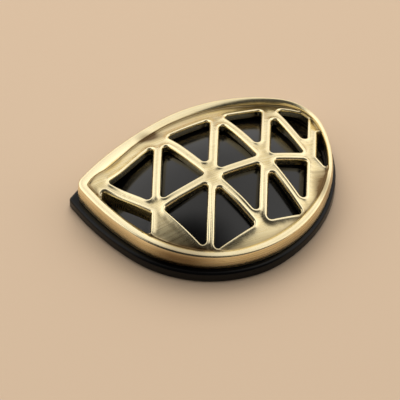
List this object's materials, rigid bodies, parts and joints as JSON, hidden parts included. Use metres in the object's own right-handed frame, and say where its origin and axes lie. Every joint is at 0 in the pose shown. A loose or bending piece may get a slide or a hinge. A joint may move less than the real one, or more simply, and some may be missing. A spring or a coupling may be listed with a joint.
{
  "type": "cabinet knob",
  "caption": "Leaf-shaped cabinet knob with a domed antique-brass lattice in a beaded rim over a black base plate, tapped at the back for a machine screw.",
  "frame": {"origin": "centre of the tapped fixing hole's mouth, on the flat back face", "axes": "+Z out of the door towards the hand, +X along the leaf from its tip to its round end, +Y across it towards the longer back edge"},
  "size_m": [0.064, 0.0515, 0.0124],
  "materials": {
    "antique_brass": "brushed antique brass, darker in the recesses",
    "satin_black": "smooth satin black",
    "plated_steel": "bright zinc plate"
  },
  "bodies": {
    "root": {"base_plate": "satin_black", "lattice_cover": "antique_brass", "cover_screws": "plated_steel"}
  },
  "joints": []
}
